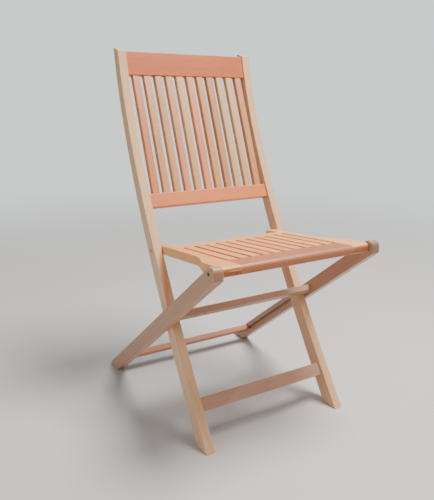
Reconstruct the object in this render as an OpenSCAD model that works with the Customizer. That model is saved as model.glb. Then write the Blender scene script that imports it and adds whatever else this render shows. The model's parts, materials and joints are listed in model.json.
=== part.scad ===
// Slatted wooden folding chair, millimetres, +Z up, front of the chair towards -Y.
// Two bent stiles carry the back and end as the front feet. The seat turns between them on
// its rear bolts, the rear legs turn on the seat's front bolts, and a pin in each stile runs
// in a groove on the inside of each rear leg.
// Side views are drawn in (y, z), with y measured back from the toe of a front foot.

/* [Overall] */
// Height of the rear top corner of a stile
chair_h = 890; // [860:5:920]
// Width over the outer faces of the rear legs
chair_w = 454; // [430:2:480]
// Thickness of the stile and rear leg boards, side to side
board_t = 23; // [20:0.5:25]
// Gap between a stile and the rear leg beside it
side_gap = 1.5; // [1.5:0.25:2.5]

/* [Stiles] */
// Slope of the stile's front edge at the foot, back per unit of height
foot_slope = 0.725; // [0.715:0.005:0.735]
// How much the stile straightens up along its whole length
even_bend = 0.1265; // [0.12:0.0005:0.13]
// How much more it straightens up near the top
top_bend = 0.06; // [0.055:0.0005:0.065]
// Front to back depth at the foot, measured level
stile_foot_d = 47.5; // [46:0.5:48]
// Front to back depth at the top, measured level
stile_top_d = 27; // [25:0.5:29]
// Drop of the top cut from its rear corner to its front corner
top_cut_drop = 7; // [4:1:12]

/* [Back] */
// Height of the top rail's middle
top_rail_z = 852; // [848:0.5:854]
// Height of the top rail's face
top_rail_h = 61; // [52:1:62]
// Height of the lower rail's middle
lower_rail_z = 515.5; // [512:0.5:520]
// Height of the lower rail's face
lower_rail_h = 36; // [32:1:38]
// Thickness of both back rails
back_rail_t = 18; // [17:0.5:19]
// Step from a stile's front edge back to the top rail's face
top_rail_step = 2.5; // [2:0.5:4]
// Step from a stile's front edge back to the lower rail's face
lower_rail_step = 5; // [5:0.5:7]
// Width of a back slat
back_slat_w = 20; // [17:0.5:22]
// Thickness of a back slat
back_slat_t = 14.5; // [12:0.5:15]
// Step from a rail's face back to the slats' faces
back_slat_step = 1.5; // [1:0.5:2]
// Spacing of the back slats, middle to middle
back_slat_pitch = 31.5; // [29:0.25:32]

/* [Seat] */
// Height of the front pivot
seat_pivot_z = 438.7; // [437:0.1:440]
// Distance of the front pivot ahead of the stiles' toes
seat_pivot_ahead = 32; // [30:0.5:34]
// Fall of the seat from front to back, in degrees
seat_fall = 6.73; // [6.6:0.01:6.8]
// Distance between the front and rear pivots
seat_pivot_span = 318.2; // [316:0.1:320]
// Thickness of the seat frame
seat_t = 21; // [19:0.5:21]
// Reach of the seat ahead of its front pivot
seat_nose = 11; // [9:0.5:13]
// Width of the front rail, front to back
seat_front_w = 58; // [50:1:62]
// Distance from the front pivot to the back rail's front edge
seat_back_v = 251; // [245:1:255]
// Width of the back rail, front to back
seat_back_w = 26; // [22:1:28]
// Spacing of the seat slats, middle to middle
seat_slat_pitch = 30; // [29:0.25:30]
// Width of the open gap between seat slats
seat_gap_w = 9; // [7:0.5:11]
// Thickness of a seat slat
seat_slat_t = 12; // [10:0.5:14]
// Radius of the seat's front top edge
nose_r = 11; // [8:0.5:12]
// Distance from the front pivot to where the seat starts to narrow
flare_v = 52; // [45:1:60]
// Length over which the seat narrows from the legs to the stiles
flare_len = 85; // [75:1:90]

/* [Rear legs] */
// Angle of the rear legs to the floor
leg_angle = 39.4; // [39.2:0.1:39.6]
// Drop of the rear legs' middle line below the front pivot
leg_drop = 7.5; // [6.5:0.5:8]
// Width of a rear leg, seen from the side
leg_w = 35; // [34:0.5:36]
// Reach of a rear leg's upright front cut ahead of the front pivot
leg_nose = 22; // [19:0.5:24]
// Radius of the rear leg's upper front corner
leg_top_r = 15; // [12:0.5:16]
// Radius of the rear tip of the foot
heel_r = 4; // [3:0.5:6]
// Width of the groove for the guide pin
groove_w = 9; // [8.5:0.5:11]
// Depth of the groove
groove_d = 8; // [6:0.5:10]

/* [Stretchers] */
// Width of the stretchers' faces
stretcher_w = 32; // [30:0.5:34]
// Thickness of all stretchers
stretcher_t = 16; // [14:0.5:16]
// Width of the rear stretcher's face
rear_stretcher_w = 28; // [24:0.5:28]
// Height of the front stretcher's middle
front_stretcher_z = 84.5; // [80:0.5:90]
// Gap left between the open middle stretcher and the stiles
stop_gap = 0.6; // [0.4:0.1:1]
// Distance along the leg from the front pivot to the rear stretcher
rear_stretcher_s = 614; // [612:1:617]
// Distance of the rear stretcher above the middle of the leg
rear_stretcher_up = 6; // [6:0.5:7]

/* [Hardware] */
// Shank radius of the pivot bolts
bolt_r = 2.5; // [2.5:0.25:3]
// Head radius of the pivot bolts
bolt_head_r = 3.8; // [3.6:0.1:4.5]
// Radial play of a bolt in the board that turns on it
bolt_play = 0.06; // [0.03:0.01:0.09]
// Radius of the guide pins
pin_r = 4; // [3.5:0.25:4]

/* [Hidden] */
$fn = 48;
back_slats = 11;
seat_slats = 10;

// Side to side places
leg_out = chair_w / 2;
leg_in = leg_out - board_t;
stile_out = leg_in - side_gap;
stile_in = stile_out - board_t;
seat_rear_x = stile_in - 1;
seat_front_x = leg_in - 1;
seat_open_x = seat_slats / 2 * seat_slat_pitch + seat_gap_w / 2;

// Seat, front to back
seat_nose_v = -seat_nose;
seat_end_v = seat_pivot_span + seat_t / 2;
seat_end_r = seat_t / 2 - 1;

// Joinery
tenon_len = 12;
slat_house = 2;
slat_tenon = 10;
slat_shoulder = 3;
tongue_len = 8;
stile_steps = 28;
flare_steps = 16;

// Overlap that keeps rounded cuts from only just touching the edges they start from
bite = 0.02;

// Pivot bolts, inserts and washers
bolt_sink = 10;
bolt_head_h = 4;
head_room = 0.3;
key_r = 1.75;
key_depth = 2.5;
insert_r = 4;
insert_len = 12;
insert_set = 1;
bolt_tip = 1;
washer_r = 8;
washer_t = 0.7;
pin_set = 14;
pin_proud = 1;

// Stile curve, in side view
function stile_y(z) = chair_h * (foot_slope * z / chair_h
    - even_bend * pow(z / chair_h, 2) - top_bend * pow(z / chair_h, 4));
function stile_d(z) = stile_foot_d + (stile_top_d - stile_foot_d) * z / chair_h;
function stile_lean(z) = atan(foot_slope - 2 * even_bend * z / chair_h
    - 4 * top_bend * pow(z / chair_h, 3));

// Directions in side view
function along(p, a, d) = [p[0] + d * cos(a), p[1] + d * sin(a)];
function tilt_of(p, q) = atan2(q[1] - p[1], q[0] - p[0]);

// Pivots: front one on the seat and rear leg, rear one on the seat and stile
front_pivot = [-seat_pivot_ahead, seat_pivot_z];
rear_pivot = along(front_pivot, -seat_fall, seat_pivot_span);
leg_top = front_pivot - [0, leg_drop];

// Guide pin: where the leg's middle line meets the stile's middle line
function stile_mid(z) = stile_y(z) + stile_d(z) / 2;
function leg_z(y) = leg_top[1] - (y - leg_top[0]) * tan(leg_angle);
function crossing(z, n) = n == 0 ? [stile_mid(z), z]
    : crossing((z + leg_z(stile_mid(z))) / 2, n - 1);
guide_pin = crossing(250, 30);
guide_s = norm(guide_pin - leg_top);
stile_half = stile_d(guide_pin[1]) / 2 * cos(stile_lean(guide_pin[1]));

// Stretchers on the rear legs, as places in side view
cross_angle = leg_angle - stile_lean(guide_pin[1]);
middle_s = guide_s - stretcher_w / 2
    - (stile_half + stop_gap + stretcher_t / 2 * sin(cross_angle)) / cos(cross_angle);
middle_place = along(leg_top, -leg_angle, middle_s);
rear_place = along(along(leg_top, -leg_angle, rear_stretcher_s),
    90 - leg_angle, rear_stretcher_up);
front_face = [stile_y(front_stretcher_z) + 7.5, front_stretcher_z];
front_lean = stile_lean(front_stretcher_z);
front_place = along(front_face, -front_lean, stretcher_t / 2);

// Back rails and the slat line between the edges that face each other
top_lean = stile_lean(top_rail_z);
lower_lean = stile_lean(lower_rail_z);
top_place = along([stile_y(top_rail_z) + top_rail_step, top_rail_z], -top_lean, back_rail_t / 2);
lower_place = along([stile_y(lower_rail_z) + lower_rail_step, lower_rail_z],
    -lower_lean, back_rail_t / 2);
slat_back = back_slat_step + (back_slat_t - back_rail_t) / 2;
lower_edge = along(along(lower_place, 90 - lower_lean, lower_rail_h / 2), -lower_lean, slat_back);
upper_edge = along(along(top_place, 90 - top_lean, -top_rail_h / 2), -top_lean, slat_back);
slat_tilt = tilt_of(lower_edge, upper_edge);
slat_place = (lower_edge + upper_edge) / 2;
slat_span = norm(upper_edge - lower_edge);

// Leg outline
leg_front_y = front_pivot[0] - leg_nose;
leg_half_z = leg_w / 2 / cos(leg_angle);
nose_tip = [leg_front_y, leg_z(leg_front_y) + leg_half_z];
heel_y = leg_top[0] + (leg_top[1] + leg_half_z) / tan(leg_angle);
heel_tangent = heel_r / tan(leg_angle / 2);
leg_rear_y = heel_y - heel_tangent + heel_r;
mid_y = (leg_front_y + leg_rear_y) / 2;
groove_start = guide_s - groove_w - 1;
groove_end = rear_stretcher_s - rear_stretcher_w / 2 - 2;

stile_color = [0.80, 0.68, 0.55];
rail_color = [0.80, 0.56, 0.44];
slat_colors = [[0.80, 0.60, 0.49], [0.82, 0.66, 0.56], [0.80, 0.66, 0.54]];
leg_color = [0.72, 0.56, 0.46];
seat_color = [0.86, 0.69, 0.56];
steel_color = [0.62, 0.62, 0.64];
brass_color = [0.78, 0.64, 0.36];

// A board cut to the side view given as children, from x0 to x1
module side_board(x0, x1) {
    translate([x0, -mid_y, 0])
        rotate([90, 0, 90])
            linear_extrude(x1 - x0) children();
}

// A rod across the chair at a side view place
module cross_rod(x0, x1, place, r) {
    translate([x0, place[0] - mid_y, place[1]])
        rotate([0, 90, 0]) cylinder(h = x1 - x0, r = r);
}

// Side view of a bar: w along the tilt, t across it
module bar(place, tilt, w, t) {
    translate(place) rotate(tilt) square([w, t], center = true);
}

// Both sides of the chair
module pair() {
    children();
    mirror([1, 0, 0]) children();
}

// Cross rail with a thinner tenon at each end
module tenoned_rail(place, tilt, w, t, end_x) {
    side_board(-end_x, end_x) bar(place, tilt, w, t);
    tenons(place, tilt, w, t, end_x);
}

module tenons(place, tilt, w, t, end_x) {
    pair() side_board(end_x, end_x + tenon_len) bar(place, tilt, w - 10, t - 6);
}

// Wedge that rounds an acute tip: bisector direction, full tip angle and radius
module tip_cut(tip, bisector, angle, r) {
    translate(tip) rotate(bisector) difference() {
        polygon([[-1, 0], [0, -2], for (s = [-1, 1]) [r / tan(angle / 2) * cos(angle / 2),
            s * r / tan(angle / 2) * sin(angle / 2)], [0, 2]]);
        translate([r / sin(angle / 2), 0]) circle(r + bite);
    }
}

// --- Stiles and back ---

module stile_outline() {
    top_front = chair_h - top_cut_drop;
    front = [for (i = [0 : stile_steps]) let (z = top_front * i / stile_steps) [stile_y(z), z]];
    rear = [for (i = [stile_steps : -1 : 0]) let (z = chair_h * i / stile_steps)
        [stile_y(z) + stile_d(z), z]];
    polygon(concat(front, rear));
}

module right_stile_wood() {
    difference() {
        side_board(stile_in, stile_out) stile_outline();
        tenons(top_place, 90 - top_lean, top_rail_h, back_rail_t, stile_in);
        tenons(lower_place, 90 - lower_lean, lower_rail_h, back_rail_t, stile_in);
        tenons(front_place, 90 - front_lean, stretcher_w, stretcher_t, stile_in);
        cross_rod(stile_out - pin_set, stile_out + 1, guide_pin, pin_r);
        cross_rod(stile_in - 1, stile_out + 1, rear_pivot, bolt_r + bolt_play);
        cross_rod(stile_out - bolt_sink, stile_out + 1, rear_pivot, bolt_head_r + 0.4);
    }
}

module right_stile() {
    color(stile_color) right_stile_wood();
}

module left_stile() {
    color(stile_color) mirror([1, 0, 0]) right_stile_wood();
}

// Slat let a little way into both rails, with a longer and thinner tenon at each end
module back_slat_wood(i) {
    x = (i - (back_slats + 1) / 2) * back_slat_pitch;
    half = back_slat_w / 2;
    side_board(x - half, x + half)
        bar(slat_place, slat_tilt, slat_span + 2 * slat_house, back_slat_t);
    side_board(x - half + slat_shoulder, x + half - slat_shoulder)
        bar(slat_place, slat_tilt, slat_span + 2 * slat_tenon, back_slat_t - 2 * slat_shoulder);
}

module back_slat(i) {
    color(slat_colors[i % 3]) back_slat_wood(i);
}

module top_rail() {
    color(rail_color) difference() {
        tenoned_rail(top_place, 90 - top_lean, top_rail_h, back_rail_t, stile_in);
        for (i = [1 : back_slats]) back_slat_wood(i);
    }
}

module lower_back_rail() {
    color(rail_color) difference() {
        tenoned_rail(lower_place, 90 - lower_lean, lower_rail_h, back_rail_t, stile_in);
        for (i = [1 : back_slats]) back_slat_wood(i);
    }
}

module front_stretcher() {
    color(rail_color)
        tenoned_rail(front_place, 90 - front_lean, stretcher_w, stretcher_t, stile_in);
}

module guide_pins() {
    color(steel_color) pair()
        cross_rod(stile_out - pin_set, stile_out + pin_proud, guide_pin, pin_r);
}

// --- Seat: drawn flat with the front pivot at the origin, then tilted into place ---

module on_seat() {
    translate([0, front_pivot[0] - mid_y, front_pivot[1]])
        rotate([-seat_fall, 0, 0]) children();
}

// Side view of the seat frame's front edge, rounded above and eased below
module seat_profile(v0, v1) {
    low_r = 4;
    difference() {
        translate([v0, -seat_t / 2]) square([v1 - v0, seat_t]);
        translate([v0, seat_t / 2]) mirror([0, 1]) edge_cut(nose_r);
        translate([v0, -seat_t / 2]) edge_cut(low_r);
    }
}

// Square corner less a quarter disc
module edge_cut(r) {
    difference() {
        translate([-1, -1]) square(r + 1);
        translate([r, r]) circle(r + bite);
    }
}

module seat_across(x0, x1) {
    translate([x0, 0, 0]) rotate([90, 0, 90]) linear_extrude(x1 - x0) children();
}

// Half the seat's width at a fraction of the way along its narrowing
function flare_x(k) = seat_rear_x + (seat_front_x - seat_rear_x) * (1 + cos(180 * k)) / 2;

// Top view of the right side board: wide at the legs, narrow between the stiles
module seat_side_outline() {
    flare = [for (i = [0 : flare_steps]) let (k = i / flare_steps)
        [flare_x(k), flare_v + flare_len * k]];
    polygon(concat([[seat_open_x, seat_end_v], [seat_open_x, seat_nose_v],
        [seat_front_x, seat_nose_v]], flare, [[seat_rear_x, seat_end_v]]));
}

module seat_tenons() {
    rail_tenon(seat_nose_v, seat_front_w);
    rail_tenon(seat_back_v, seat_back_w);
}

// Tenons at the ends of a seat rail that starts at v0
module rail_tenon(v0, w) {
    pair() translate([seat_open_x, v0 + w / 2 - (w - 12) / 2, -4])
        cube([tenon_len, w - 12, 8]);
}

module seat_right_wood() {
    difference() {
        intersection() {
            translate([0, 0, -seat_t]) linear_extrude(2 * seat_t) seat_side_outline();
            seat_across(0, chair_w) difference() {
                seat_profile(seat_nose_v, seat_end_v);
                for (up = [0, 1]) mirror([0, up])
                    translate([seat_end_v, -seat_t / 2]) mirror([1, 0]) edge_cut(seat_end_r);
            }
        }
        seat_tenons();
        seat_bore(0, seat_front_x);
        seat_bore(seat_pivot_span, seat_rear_x);
    }
}

// Hole for a threaded insert, with room for the bolt's tip behind it
module seat_bore(v, face_x) {
    depth = insert_set + insert_len;
    translate([face_x - depth, v, 0]) rotate([0, 90, 0]) cylinder(h = depth + 1, r = insert_r);
    translate([face_x - depth - bolt_tip - 0.5, v, 0]) rotate([0, 90, 0])
        cylinder(h = depth, r = bolt_r + 0.3);
}

module seat_right_board() {
    color(seat_color) on_seat() seat_right_wood();
}

module seat_left_board() {
    color(seat_color) on_seat() mirror([1, 0, 0]) seat_right_wood();
}

module seat_slat_wood(i) {
    x = (i - (seat_slats + 1) / 2) * seat_slat_pitch;
    w = seat_slat_pitch - seat_gap_w;
    v0 = seat_nose_v + seat_front_w;
    translate([x - w / 2, v0, seat_t / 2 - seat_slat_t])
        cube([w, seat_back_v - v0, seat_slat_t]);
    translate([x - w / 2, v0 - tongue_len, seat_t / 2 - seat_slat_t + 1.5])
        cube([w, seat_back_v - v0 + 2 * tongue_len, seat_slat_t - 6]);
}

module seat_slat(i) {
    color(slat_colors[(i + 1) % 3]) on_seat() seat_slat_wood(i);
}

module seat_front_rail() {
    color(rail_color) on_seat() difference() {
        union() {
            seat_across(-seat_open_x, seat_open_x)
                seat_profile(seat_nose_v, seat_nose_v + seat_front_w);
            rail_tenon(seat_nose_v, seat_front_w);
        }
        for (i = [1 : seat_slats]) seat_slat_wood(i);
    }
}

module seat_back_rail() {
    color(seat_color) on_seat() difference() {
        union() {
            translate([-seat_open_x, seat_back_v, -seat_t / 2])
                cube([2 * seat_open_x, seat_back_w, seat_t]);
            rail_tenon(seat_back_v, seat_back_w);
        }
        for (i = [1 : seat_slats]) seat_slat_wood(i);
    }
}

// --- Pivot hardware, carried by the seat ---

// Bolt through a board whose outer face is at board_x, into the insert in the seat at seat_x
module pivot_bolt(place, board_x, seat_x) {
    head_x = board_x - bolt_sink + head_room;
    difference() {
        union() {
            cross_rod(seat_x - insert_set - insert_len - bolt_tip, head_x + 1, place, bolt_r);
            cross_rod(head_x, head_x + bolt_head_h, place, bolt_head_r);
        }
        cross_rod(head_x + bolt_head_h - key_depth, head_x + bolt_head_h + 1, place, key_r, $fn = 6);
    }
}

module rear_pivot_bolts() {
    color(steel_color) pair() pivot_bolt(rear_pivot, stile_out, seat_rear_x);
}

module front_pivot_bolts() {
    color(steel_color) pair() pivot_bolt(front_pivot, leg_out, seat_front_x);
}

module insert(place, seat_x) {
    difference() {
        cross_rod(seat_x - insert_set - insert_len, seat_x - insert_set, place, insert_r);
        cross_rod(seat_x - insert_set - insert_len - 1, seat_x, place, bolt_r);
    }
}

module threaded_inserts() {
    color(brass_color) pair() {
        insert(rear_pivot, seat_rear_x);
        insert(front_pivot, seat_front_x);
    }
}

module washer(place, seat_x) {
    difference() {
        cross_rod(seat_x, seat_x + washer_t, place, washer_r);
        cross_rod(seat_x - 1, seat_x + washer_t + 1, place, bolt_r);
    }
}

module pivot_washers() {
    color(steel_color) pair() {
        washer(rear_pivot, seat_rear_x);
        washer(front_pivot, seat_front_x);
    }
}

// --- Rear legs ---

module leg_outline() {
    difference() {
        intersection() {
            bar(along(leg_top, -leg_angle, 330), -leg_angle, 900, leg_w);
            translate([leg_front_y, 0]) square([leg_rear_y - leg_front_y + leg_w, chair_h]);
        }
        tip_cut(nose_tip, -90 + (90 - leg_angle) / 2, 90 - leg_angle, leg_top_r);
        tip_cut([heel_y, 0], 180 - leg_angle / 2, leg_angle, heel_r);
    }
}

// Groove along the middle of the leg, rounded at both ends
module groove_outline() {
    half = [(groove_end - groove_start) / 2, groove_w / 2];
    translate(along(leg_top, -leg_angle, groove_start + half[0])) rotate(-leg_angle)
        difference() {
            square(2 * half, center = true);
            for (sx = [0, 1], sy = [0, 1]) mirror([sx, 0]) mirror([0, sy])
                translate(-half) edge_cut(groove_w / 2 - 0.5);
        }
}

module right_leg_wood() {
    difference() {
        side_board(leg_in, leg_out) leg_outline();
        side_board(leg_in - 1, leg_in + groove_d) groove_outline();
        tenons(middle_place, -leg_angle, stretcher_w, stretcher_t, leg_in);
        tenons(rear_place, -leg_angle, rear_stretcher_w, stretcher_t, leg_in);
        cross_rod(leg_in - 1, leg_out + 1, front_pivot, bolt_r + bolt_play);
        cross_rod(leg_out - bolt_sink, leg_out + 1, front_pivot, bolt_head_r + 0.4);
    }
}

module right_rear_leg() {
    color(leg_color) right_leg_wood();
}

module left_rear_leg() {
    color(leg_color) mirror([1, 0, 0]) right_leg_wood();
}

module middle_stretcher() {
    color(rail_color)
        tenoned_rail(middle_place, -leg_angle, stretcher_w, stretcher_t, leg_in);
}

module rear_stretcher() {
    color(rail_color)
        tenoned_rail(rear_place, -leg_angle, rear_stretcher_w, stretcher_t, leg_in);
}

left_stile();
right_stile();
top_rail();
lower_back_rail();
for (i = [1 : back_slats]) back_slat(i);
front_stretcher();
guide_pins();
seat_left_board();
seat_right_board();
seat_front_rail();
seat_back_rail();
for (i = [1 : seat_slats]) seat_slat(i);
rear_pivot_bolts();
front_pivot_bolts();
threaded_inserts();
pivot_washers();
left_rear_leg();
right_rear_leg();
middle_stretcher();
rear_stretcher();
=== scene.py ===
"""Slatted wooden folding chair: rounded boards, each with its own procedural wood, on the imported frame."""
import json
import math

import bmesh
import bpy
from mathutils import Matrix, Vector


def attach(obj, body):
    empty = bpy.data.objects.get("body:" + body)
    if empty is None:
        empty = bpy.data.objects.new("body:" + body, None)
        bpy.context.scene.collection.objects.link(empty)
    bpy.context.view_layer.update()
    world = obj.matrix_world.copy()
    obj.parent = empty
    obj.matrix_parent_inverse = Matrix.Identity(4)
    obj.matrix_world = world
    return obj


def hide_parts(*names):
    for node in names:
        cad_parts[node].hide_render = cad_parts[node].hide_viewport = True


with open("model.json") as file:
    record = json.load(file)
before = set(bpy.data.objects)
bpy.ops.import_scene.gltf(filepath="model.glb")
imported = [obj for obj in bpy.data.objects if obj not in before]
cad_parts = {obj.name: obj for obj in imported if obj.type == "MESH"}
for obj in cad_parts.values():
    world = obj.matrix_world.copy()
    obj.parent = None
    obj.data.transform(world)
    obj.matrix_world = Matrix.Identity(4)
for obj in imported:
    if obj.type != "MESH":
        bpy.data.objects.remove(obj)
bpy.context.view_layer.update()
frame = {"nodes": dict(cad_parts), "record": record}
nodes = frame["nodes"]
body_of = {n: b for b, ns in frame["record"]["behaviour"]["bodies"].items() for n in ns}

# The stiles' curve, as in the part's source
CHAIR_H = 0.890
FOOT_SLOPE, EVEN_BEND, TOP_BEND = 0.725, 0.1265, 0.06
# Mean cosine of the stiles' lean, which squares up their level section
LEAN_COSINE = 0.86

# Slopes in side view, in degrees
SEAT_FALL = 6.73
SLAT_LEAN = 22.52
LEG_ANGLE = 39.4

# Turns that bring a board's length onto Z, in degrees
ALONG_X = (0, 90, 0)
ALONG_SLAT = (SLAT_LEAN, 0, 0)
ALONG_SEAT = (90 + SEAT_FALL, 0, 0)
ALONG_LEG = (90 + LEG_ANGLE, 0, 0)


# ---------------------------------------------------------------- node helpers
class Tree:
    """A node tree being built: node() adds any node, and the others add the ones used most."""

    def __init__(self, tree):
        self.tree = tree

    def node(self, kind, inputs=None, **settings):
        n = self.tree.nodes.new("ShaderNode" + kind)
        for key, value in settings.items():
            setattr(n, key, value)
        for key, value in (inputs or {}).items():
            self.put(n.inputs[key], value)
        return n

    def put(self, socket, value):
        if isinstance(value, bpy.types.NodeSocket):
            self.tree.links.new(value, socket)
        else:
            socket.default_value = value

    def math(self, operation, *values):
        n = self.node("Math", operation=operation)
        for socket, value in zip(n.inputs, values):
            self.put(socket, value)
        return n.outputs[0]

    def mix(self, factor, a, b, blend="MIX"):
        n = self.node("Mix", data_type="RGBA", blend_type=blend)
        for index, value in ((0, factor), (6, a), (7, b)):
            self.put(n.inputs[index], value)
        return n.outputs[2]

    def ramp(self, value, *stops):
        n = self.node("ValToRGB", {"Fac": value})
        points = n.color_ramp.elements
        while len(points) < len(stops):
            points.new(0.5)
        for point, (place, level) in zip(points, stops):
            point.position = place
            point.color = (level, level, level, 1)
        return n.outputs[0]

    def noise(self, vector, scale, detail=3.0, rough=0.5):
        settings = {"Vector": vector, "Scale": scale, "Detail": detail, "Roughness": rough}
        return self.node("TexNoise", settings).outputs[0]

    def stretch(self, vector, x, y, z):
        return self.node("Mapping", {"Vector": vector, "Scale": (x, y, z)}).outputs[0]


def srgb(r, g, b):
    """A colour from 0 to 255, as shown on a screen, made linear."""
    linear = [(c / 255 / 12.92) if c <= 10 else ((c / 255 + 0.055) / 1.055) ** 2.4 for c in (r, g, b)]
    return (*linear, 1.0)


def scaled(colour, *parts):
    """A linear colour with each channel multiplied and kept below 1."""
    return (*(min(1.0, c * k) for c, k in zip(colour, parts)), 1.0)


# ---------------------------------------------------------------- wood
def grain_space(t, rotation, seed, bent):
    """Coordinates in metres with Z along the grain, moved to a different part of the log for each seed."""
    place = t.node("TexCoord").outputs["Object"]
    if bent:
        parts = t.node("SeparateXYZ", {"Vector": place}).outputs
        u = t.math("DIVIDE", parts[2], CHAIR_H)
        curve = t.math("MULTIPLY", t.math("POWER", u, 2.0), -EVEN_BEND)
        curve = t.math("MULTIPLY_ADD", t.math("POWER", u, 4.0), -TOP_BEND, curve)
        curve = t.math("MULTIPLY_ADD", u, FOOT_SLOPE, curve)
        across = t.math("MULTIPLY_ADD", curve, -CHAIR_H, parts[1])
        across = t.math("MULTIPLY", across, LEAN_COSINE)
        place = t.node("CombineXYZ", {"X": parts[0], "Y": across, "Z": parts[2]}).outputs[0]
    turned = t.node("Mapping", {"Vector": place, "Rotation": [math.radians(a) for a in rotation]})
    drift = Vector((0.37, 0.61, 1.13)) * seed
    moved = t.node("VectorMath", {0: turned.outputs[0], 1: drift}, operation="ADD")
    return moved.outputs[0]


def turned_towards(t, rotation):
    """How far a face turns across the chair, and how far along the grain, each from 0 to 1."""
    normal = t.node("TexCoord").outputs["Normal"]
    across = t.math("ABSOLUTE", t.node("SeparateXYZ", {"Vector": normal}).outputs[0])
    angles = [math.radians(a) for a in rotation]
    grain = t.node("Mapping", {"Vector": normal, "Rotation": angles}, vector_type="NORMAL").outputs[0]
    along = t.math("ABSOLUTE", t.node("SeparateXYZ", {"Vector": grain}).outputs[2])
    return t.ramp(across, (0.70, 0.0), (0.95, 1.0)), t.ramp(along, (0.55, 0.0), (0.92, 1.0))


def wood(name, tint, rotation=(0, 0, 0), seed=0, bent=False, ring=0.0042, figure=0.5,
         side=(1, 1, 1), end=(1, 1, 1)):
    """Varnished hardwood. tint is the face's colour on screen, ring the spacing of the growth rings.
    side tints the faces that look across the chair with a painted shade tone for how those faces are lit;
    end darkens the end grain, partly as its own darker colour and partly as painted shade."""
    m = bpy.data.materials.new(name)
    m.use_nodes = True
    t = Tree(m.node_tree)
    shader = m.node_tree.nodes["Principled BSDF"]
    p = grain_space(t, rotation, seed, bent)

    # growth rings round a pith some way outside the board, so end grain shows arcs
    wander = t.noise(t.stretch(p, 1, 1, 0.16), 9.0, 2.0)
    pith = Vector((0.09 + 0.031 * (seed % 5), 0.06 - 0.027 * (seed % 7), 0))
    centred = t.node("VectorMath", {0: p, 1: pith}, operation="ADD").outputs[0]
    parts = t.node("SeparateXYZ", {"Vector": centred}).outputs
    lx = t.math("PINGPONG", parts[0], 0.21)
    ly = t.math("PINGPONG", parts[1], 0.17)
    radius = t.math("SQRT", t.math("ADD", t.math("POWER", lx, 2.0), t.math("POWER", ly, 2.0)))
    radius = t.math("MULTIPLY_ADD", wander, 0.030, radius)
    turns = t.math("FRACT", t.math("DIVIDE", radius, ring))
    rings = t.ramp(turns, (0.0, 0.0), (0.62, 0.35), (0.9, 1.0), (1.0, 0.0))

    # fibres and pores, long and fine along the grain
    fibre = t.noise(t.stretch(p, 1, 1, 0.022), 420.0, 4.0, 0.6)
    streak = t.noise(t.stretch(p, 1, 1, 0.05), 95.0, 3.0, 0.55)
    pores = t.ramp(t.noise(t.stretch(p, 1, 1, 0.03), 1150.0, 1.0), (0.0, 0.0), (0.60, 0.0), (0.72, 1.0))
    cloud = t.noise(t.stretch(p, 1, 1, 0.35), 13.0, 2.0)

    base = srgb(*tint)[:3]
    light = scaled(base, 1.10, 1.13, 1.17)
    dark = scaled(base, 0.82, 0.72, 0.62)
    deep = scaled(base, 0.62, 0.50, 0.40)
    colour = t.mix(t.ramp(cloud, (0.3, 0.0), (0.7, 1.0)), scaled(base, 1, 1, 1), light)
    colour = t.mix(t.math("MULTIPLY", rings, figure), colour, dark)
    colour = t.mix(t.math("MULTIPLY", t.ramp(streak, (0.42, 0.0), (0.75, 1.0)), 0.40), colour, dark)
    colour = t.mix(t.math("MULTIPLY", t.ramp(fibre, (0.40, 0.0), (0.80, 1.0)), 0.35), colour, deep)
    colour = t.mix(t.math("MULTIPLY", pores, 0.45), colour, deep)

    # painted shade: faces that look across the chair, and end-grain faces, get their own tints by which way
    # they turn
    side_shade_mask, end_grain_shade_mask = turned_towards(t, rotation)
    colour = t.mix(side_shade_mask, colour, (*side, 1), "MULTIPLY")
    colour = t.mix(end_grain_shade_mask, colour, (*end, 1), "MULTIPLY")

    # worn edges: a little paler and rougher where the surface turns
    flat = t.node("NewGeometry").outputs["Normal"]
    soft = t.node("Bevel", {"Radius": 0.0025}, samples=6).outputs[0]
    facing = t.node("VectorMath", {0: flat, 1: soft}, operation="DOT_PRODUCT").outputs["Value"]
    edge = t.math("SUBTRACT", 1.0, t.ramp(facing, (0.80, 0.0), (0.99, 1.0)))
    patch = t.ramp(t.noise(p, 55.0, 3.0), (0.40, 0.0), (0.62, 1.0))
    worn = t.math("MULTIPLY", edge, t.math("MULTIPLY_ADD", patch, 0.6, 0.15))
    colour = t.mix(t.math("MULTIPLY", worn, 0.55), colour, scaled(base, 1.22, 1.25, 1.28))
    t.put(shader.inputs["Base Color"], colour)

    rough = t.math("MULTIPLY_ADD", fibre, 0.16, 0.33)
    rough = t.math("MULTIPLY_ADD", cloud, 0.10, rough)
    rough = t.math("MULTIPLY_ADD", worn, 0.16, rough)
    t.put(shader.inputs["Roughness"], rough)
    height = t.math("MULTIPLY_ADD", fibre, 0.7, t.math("MULTIPLY", rings, -0.25))
    height = t.math("MULTIPLY_ADD", pores, -0.8, height)
    bump = t.node("Bump", {"Strength": 0.30, "Distance": 0.0004, "Height": height})
    t.put(shader.inputs["Normal"], bump.outputs[0])
    shader.inputs["Coat Weight"].default_value = 0.12
    shader.inputs["Coat Roughness"].default_value = 0.32
    shader.inputs["Specular IOR Level"].default_value = 0.42
    return m


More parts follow.
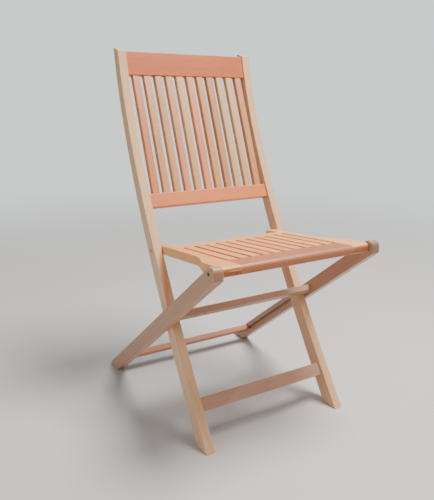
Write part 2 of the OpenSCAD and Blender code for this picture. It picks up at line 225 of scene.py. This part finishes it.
def metal(name, tint, rough, seed=0):
    """Plated hardware with fine turning marks and a few dull spots."""
    m = bpy.data.materials.new(name)
    m.use_nodes = True
    t = Tree(m.node_tree)
    shader = m.node_tree.nodes["Principled BSDF"]
    place = t.node("TexCoord").outputs["Object"]
    fine = t.noise(place, 2400.0, 2.0)
    spots = t.ramp(t.noise(place, 260.0 + seed, 3.0), (0.45, 0.0), (0.70, 1.0))
    base = srgb(*tint)
    dull = scaled(base, 0.55, 0.55, 0.55)
    t.put(shader.inputs["Base Color"], t.mix(t.math("MULTIPLY", spots, 0.6), base, dull))
    rough = t.math("MULTIPLY_ADD", spots, 0.15, rough)
    t.put(shader.inputs["Roughness"], t.math("MULTIPLY_ADD", fine, 0.25, rough))
    bump = t.node("Bump", {"Strength": 0.25, "Distance": 0.0001, "Height": fine})
    t.put(shader.inputs["Normal"], bump.outputs[0])
    shader.inputs["Metallic"].default_value = 1.0
    return m


# ---------------------------------------------------------------- boards
# Edges that turn by less than this belong to a curve
SHARP = math.radians(40)
# Two places this close, in metres, are the same
CLOSE = 1e-5
# Rounding of a counterbore's rim, as a part of the board's own
RIM = 0.22


def hull_face(face, points):
    """True if the whole node lies behind this face."""
    level = face.normal.dot(face.calc_center_median())
    return all(face.normal.dot(p) < level + 2e-5 for p in points)


def at_either(value, low, high):
    """True if the value is at one of the two ends."""
    return min(abs(value - low), abs(value - high)) < CLOSE


def flat_sides(bm):
    """The top, bottom and upright faces of a seat side board, which lies tilted by the seat's fall."""
    fall = math.radians(SEAT_FALL)
    up = Vector((0, math.sin(fall), math.cos(fall)))
    heights = [v.co.dot(up) for v in bm.verts]
    low, high = min(heights), max(heights)
    tops = {f for f in bm.faces
            if abs(f.normal.dot(up)) > 0.999 and at_either(f.verts[0].co.dot(up), low, high)}
    return tops | {f for f in bm.faces if abs(f.normal.dot(up)) < 0.02}


def outer_faces(bm, kind):
    """The faces whose edges are rounded over: not those of mortises, pockets, bores or grooves."""
    if kind == "seat":
        return flat_sides(bm)
    xs = [v.co.x for v in bm.verts]
    low, high = min(xs), max(xs)
    if kind == "side":
        span = 0.9 * (high - low)
        through = {f for f in bm.faces
                   if max(v.co.x for v in f.verts) - min(v.co.x for v in f.verts) > span}
        flats = {f for f in bm.faces if abs(f.normal.x) > 0.99 and at_either(f.verts[0].co.x, low, high)}
        return through | flats
    points = [v.co.copy() for v in bm.verts]
    return {f for f in bm.faces if hull_face(f, points)}


def mark_edges(bm, kind):
    """Weighs the outer edges for rounding, and keeps the other sharp ones sharp."""
    outer = outer_faces(bm, kind)
    far = max(abs(v.co.x) for v in bm.verts)
    layer = bm.edges.layers.float.new("bevel_weight_edge")
    for face in bm.faces:
        face.smooth = True
    for e in bm.edges:
        if len(e.link_faces) != 2 or e.calc_face_angle(0) < SHARP:
            continue
        inside = [f for f in e.link_faces if f not in outer]
        on_far_face = all(abs(abs(v.co.x) - far) < CLOSE for v in e.verts)
        if not inside:
            e[layer] = 1.0
        elif kind == "side" and len(inside) == 1 and on_far_face:
            e[layer] = RIM
        else:
            e.smooth = False


def board(node, material, bevel=0.0022, kind="box"):
    """Replaces a CAD board with a copy whose outer edges are rounded, kept inside the CAD board's box."""
    bm = bmesh.new()
    bm.from_mesh(nodes[node].data)
    bmesh.ops.remove_doubles(bm, verts=bm.verts, dist=2e-6)
    bmesh.ops.dissolve_limit(bm, angle_limit=math.radians(0.15), verts=bm.verts, edges=bm.edges)
    bm.normal_update()
    mark_edges(bm, kind)
    mesh = bpy.data.meshes.new(node + "_board")
    bm.to_mesh(mesh)
    bm.free()
    piece = bpy.data.objects.new(node + "_board", mesh)
    bpy.context.scene.collection.objects.link(piece)
    rounding = piece.modifiers.new("Rounding", "BEVEL")
    rounding.limit_method = "WEIGHT"
    rounding.width = bevel
    rounding.segments = 3
    rounding.use_clamp_overlap = True
    normals = piece.modifiers.new("Normals", "WEIGHTED_NORMAL")
    normals.keep_sharp = True
    rounded = piece.evaluated_get(bpy.context.evaluated_depsgraph_get())
    shaped = bpy.data.meshes.new_from_object(rounded)
    piece.modifiers.clear()
    corners = [v.co for v in nodes[node].data.vertices]
    low, high = ([f(c[i] for c in corners) for i in range(3)] for f in (min, max))
    for v in shaped.vertices:
        v.co = [min(max(v.co[i], low[i]), high[i]) for i in range(3)]
    piece.data = shaped
    shaped.materials.clear()
    shaped.materials.append(material)
    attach(piece, body_of[node])
    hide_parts(node)


# ---------------------------------------------------------------- the pieces
# Roundings in metres, beside the usual 0.0022
SOFT, FINE = 0.0026, 0.0020

# Tints for side faces and for end grain, as parts of the face colour: the side tints are painted shade
# tones, paler and cooler, for how side faces are lit
SIDE_SHADE_TONE = (0.97, 1.02, 1.12)
# end tints darken end grain, partly as the end grain's own darker colour and partly as painted shade
END_GRAIN_SHADE = (0.62, 0.50, 0.44)
SEAT_SIDE_SHADE_TONE = (1.16, 1.34, 1.58)
SEAT_END_GRAIN_SHADE = (0.42, 0.29, 0.20)

# back frame
# painted shade: each stile's side faces get their own tint, paler and cooler on the left and a little darker
# on the right, for how they are lit
for side, seed, faces in (("left", 1, (1.15, 1.24, 1.34)), ("right", 2, (0.95, 0.97, 1.0))):
    grain = wood(side + "_stile_wood", (220, 174, 131), seed=seed, bent=True, side=faces)
    board(side + "_stile", grain, SOFT, "side")
board("top_rail", wood("top_rail_wood", (195, 104, 60), ALONG_X, 3), SOFT)
board("lower_back_rail", wood("lower_back_rail_wood", (212, 120, 64), ALONG_X, 4))
# painted shade: the front stretcher's tint is darkened for the shade under the seat
board("front_stretcher", wood("front_stretcher_wood", (189, 145, 120), ALONG_X, 5))
BACK = [(203, 128, 88), (205, 148, 103), (203, 149, 101), (208, 144, 103), (212, 162, 112), (218, 143, 98),
        (203, 143, 94), (193, 137, 92), (209, 170, 125), (210, 164, 117), (202, 137, 94)]
for i, tint in enumerate(BACK, 1):
    name = "back_slat_%d" % i
    # painted shade tone on the slats' side faces
    board(name, wood(name + "_wood", tint, ALONG_SLAT, 10 + i, side=SIDE_SHADE_TONE))

# seat
for side, seed, tint in (("left", 31, (238, 160, 96)), ("right", 32, (244, 171, 110))):
    grain = wood("seat_%s_wood" % side, tint, ALONG_SEAT, seed, side=SEAT_SIDE_SHADE_TONE, end=SEAT_END_GRAIN_SHADE)
    board("seat_%s_board" % side, grain, kind="seat")
# painted shade: the front rail's tint is darkened for the shade on its front face
board("seat_front_rail", wood("seat_front_rail_wood", (172, 107, 72), ALONG_X, 33), FINE)
board("seat_back_rail", wood("seat_back_rail_wood", (236, 158, 95), ALONG_X, 34))
SEAT = [(236, 157, 102), (232, 151, 94), (238, 163, 107), (228, 149, 96), (240, 166, 108), (234, 154, 98),
        (238, 159, 101), (230, 153, 98), (240, 165, 108), (234, 156, 99)]
for i, tint in enumerate(SEAT, 1):
    name = "seat_slat_%d" % i
    board(name, wood(name + "_wood", tint, ALONG_SEAT, 40 + i, side=SIDE_SHADE_TONE), FINE)

# rear legs
# painted shade: the leg tints are darkened and greyed, the right one more, for the shade under the seat
for side, seed, tint in (("left", 61, (190, 146, 118)), ("right", 62, (180, 141, 114))):
    grain = wood(side + "_leg_wood", tint, ALONG_LEG, seed, figure=0.32, end=END_GRAIN_SHADE)
    board(side + "_rear_leg", grain, SOFT, "side")
# painted shade: the stretchers' tints are darkened for the shade under the seat
board("middle_stretcher", wood("middle_stretcher_wood", (168, 129, 105), ALONG_X, 63))
board("rear_stretcher", wood("rear_stretcher_wood", (180, 118, 88), ALONG_X, 64))

# hardware keeps its CAD shape
steel = metal("plated_steel", (150, 150, 154), 0.30)
brass = metal("plain_brass", (190, 160, 96), 0.28, 7)
for name in ("guide_pins", "rear_pivot_bolts", "front_pivot_bolts", "pivot_washers", "threaded_inserts"):
    nodes[name].data.materials.clear()
    nodes[name].data.materials.append(brass if name == "threaded_inserts" else steel)


# ---------------------------------------------------------------- floor, light and camera
BACKDROP = (228, 233, 233)
BACKDROP_POWER = 1.42
# Half the floor's side, and how far off it starts and ends its fade, in metres
FLOOR_HALF = 30.0
FADE_FROM, FADE_TO = 0.9, 3.2
# Where the lights aim, and how wide they are
AIM = (0, 0, 0.4)
DISK = 1.4


def floor():
    """A pale floor that fades into the backdrop some way off, so no horizon shows behind the object."""
    mesh = bpy.data.meshes.new("floor")
    corners = [(x * FLOOR_HALF, y * FLOOR_HALF, 0) for x, y in ((-1, -1), (1, -1), (1, 1), (-1, 1))]
    mesh.from_pydata(corners, [], [(0, 1, 2, 3)])
    obj = bpy.data.objects.new("floor", mesh)
    bpy.context.scene.collection.objects.link(obj)
    m = bpy.data.materials.new("pale_floor")
    m.use_nodes = True
    t = Tree(m.node_tree)
    shader = m.node_tree.nodes["Principled BSDF"]
    place = t.node("TexCoord").outputs["Object"]
    cloud = t.noise(place, 2.2, 3.0)
    t.put(shader.inputs["Base Color"], t.mix(cloud, srgb(190, 187, 184), srgb(198, 196, 194)))
    t.put(shader.inputs["Roughness"], t.math("MULTIPLY_ADD", cloud, 0.10, 0.42))
    away = t.node("VectorMath", {0: place}, operation="LENGTH").outputs["Value"]
    fade = t.node("MapRange", {"Value": away, "From Min": FADE_FROM, "From Max": FADE_TO},
                  interpolation_type="SMOOTHSTEP")
    glow = t.node("Emission", {"Color": srgb(*BACKDROP), "Strength": BACKDROP_POWER})
    seen = t.node("LightPath").outputs["Is Camera Ray"]
    far_off = t.math("MULTIPLY", fade.outputs[0], seen)
    mixed = t.node("MixShader", {0: far_off, 1: shader.outputs[0], 2: glow.outputs[0]})
    t.put(m.node_tree.nodes["Material Output"].inputs["Surface"], mixed.outputs[0])
    mesh.materials.append(m)


def area_light(name, place, power, tint):
    """A round soft light aimed at the middle of the chair."""
    light = bpy.data.lights.new(name, "AREA")
    light.shape = "DISK"
    light.size = DISK
    light.energy = power
    light.color = tint
    obj = bpy.data.objects.new(name, light)
    obj.location = place
    obj.rotation_euler = (Vector(AIM) - Vector(place)).to_track_quat("-Z", "Y").to_euler()
    bpy.context.scene.collection.objects.link(obj)


floor()
area_light("key", (0.9, -0.4, 3.0), 200, (1.0, 0.98, 0.95))
area_light("side", (3.0, -0.8, 1.5), 10, (1.0, 0.97, 0.93))
area_light("fill", (-2.5, -1.2, 1.2), 14, (0.97, 0.98, 1.0))

world = bpy.data.worlds.new("studio")
world.use_nodes = True
w = Tree(world.node_tree)
ambient = world.node_tree.nodes["Background"]
ambient.inputs[0].default_value = srgb(228, 230, 232)
ambient.inputs[1].default_value = 0.46
backdrop = w.node("Background", {"Color": srgb(*BACKDROP), "Strength": BACKDROP_POWER})
seen = w.node("LightPath").outputs["Is Camera Ray"]
both = w.node("MixShader", {0: seen, 1: ambient.outputs[0], 2: backdrop.outputs[0]})
w.put(world.node_tree.nodes["World Output"].inputs["Surface"], both.outputs[0])
bpy.context.scene.world = world

camera = bpy.data.cameras.new("camera")
camera.lens = 41.08
camera.sensor_width = 36.0
camera.shift_x = 0.0076
camera.shift_y = -0.0504
camera.clip_start = 0.02
view = bpy.data.objects.new("camera", camera)
bpy.context.scene.collection.objects.link(view)
azimuth, elevation, roll = math.radians(-31.42), math.radians(13.83), 0.0200
view.location = (-0.7772, -1.1776, 0.8027)
turned = Matrix.Rotation(azimuth, 3, "Z")
raised = Matrix.Rotation(math.pi / 2 - elevation, 3, "X")
view.rotation_euler = (turned @ raised @ Matrix.Rotation(roll, 3, "Z")).to_euler()
bpy.context.scene.camera = view
